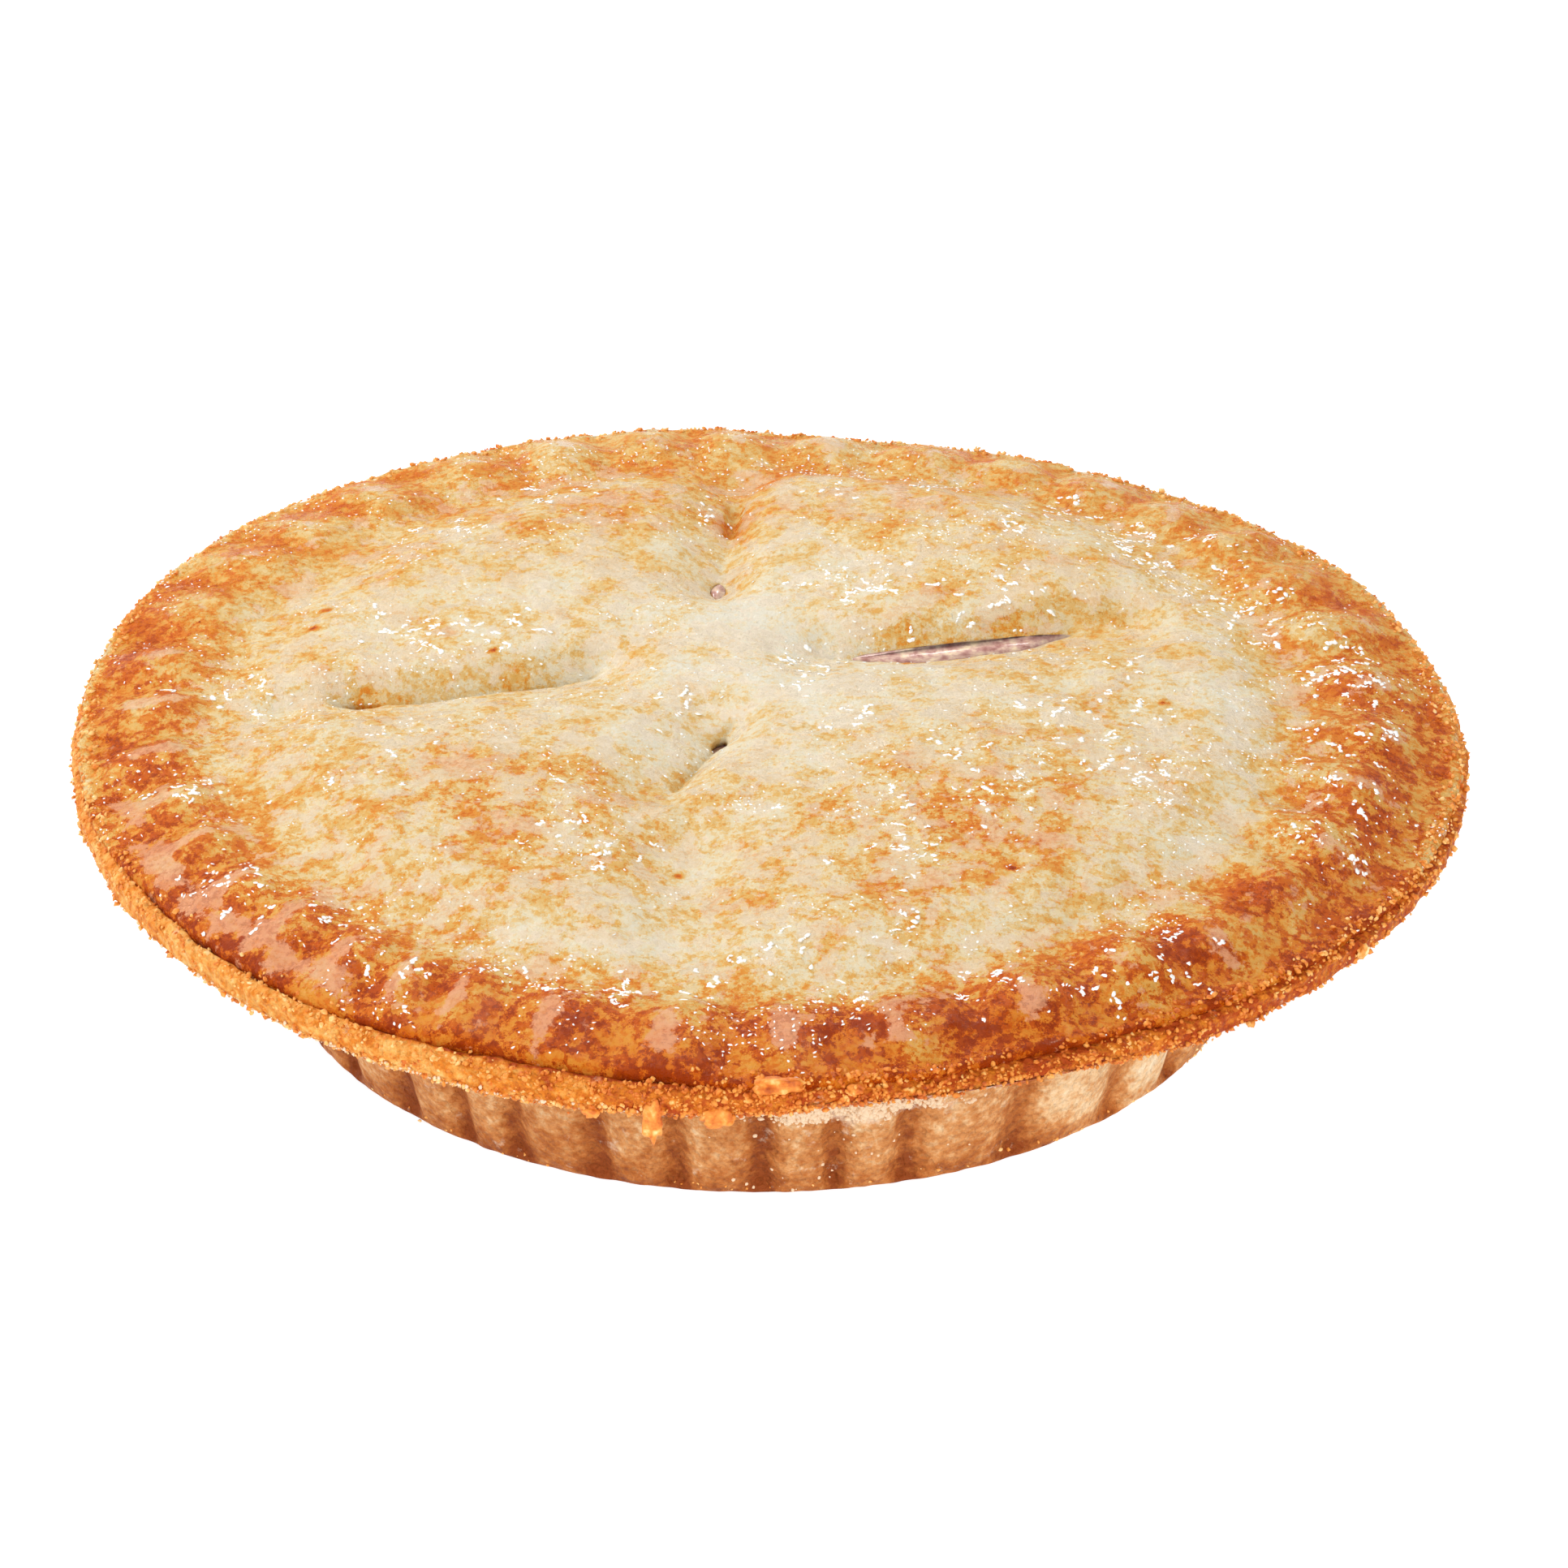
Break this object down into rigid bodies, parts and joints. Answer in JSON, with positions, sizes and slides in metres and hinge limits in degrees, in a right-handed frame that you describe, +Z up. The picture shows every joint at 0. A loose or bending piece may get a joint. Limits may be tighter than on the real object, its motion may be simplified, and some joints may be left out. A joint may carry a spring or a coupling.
{
  "type": "blueberry pie",
  "caption": "Baked double-crust fruit pie: a fluted bottom crust, berry filling and a crimped, vented top crust.",
  "frame": {"origin": "on the surface that the pie stands on, under the middle of its outline", "axes": "+Z up, the side that faced the viewer at -Y, +X to the viewer's right"},
  "size_m": [0.209, 0.1972, 0.0442],
  "materials": {
    "tan_crust": "baked shortcrust, matt and slightly floury",
    "berry_filling": "thick glossy berry filling",
    "golden_crust": "egg-washed shortcrust, baked golden, glossy in spots"
  },
  "bodies": {
    "root": {"bottom_crust": "tan_crust", "filling": "berry_filling", "top_crust": "golden_crust"}
  },
  "joints": []
}
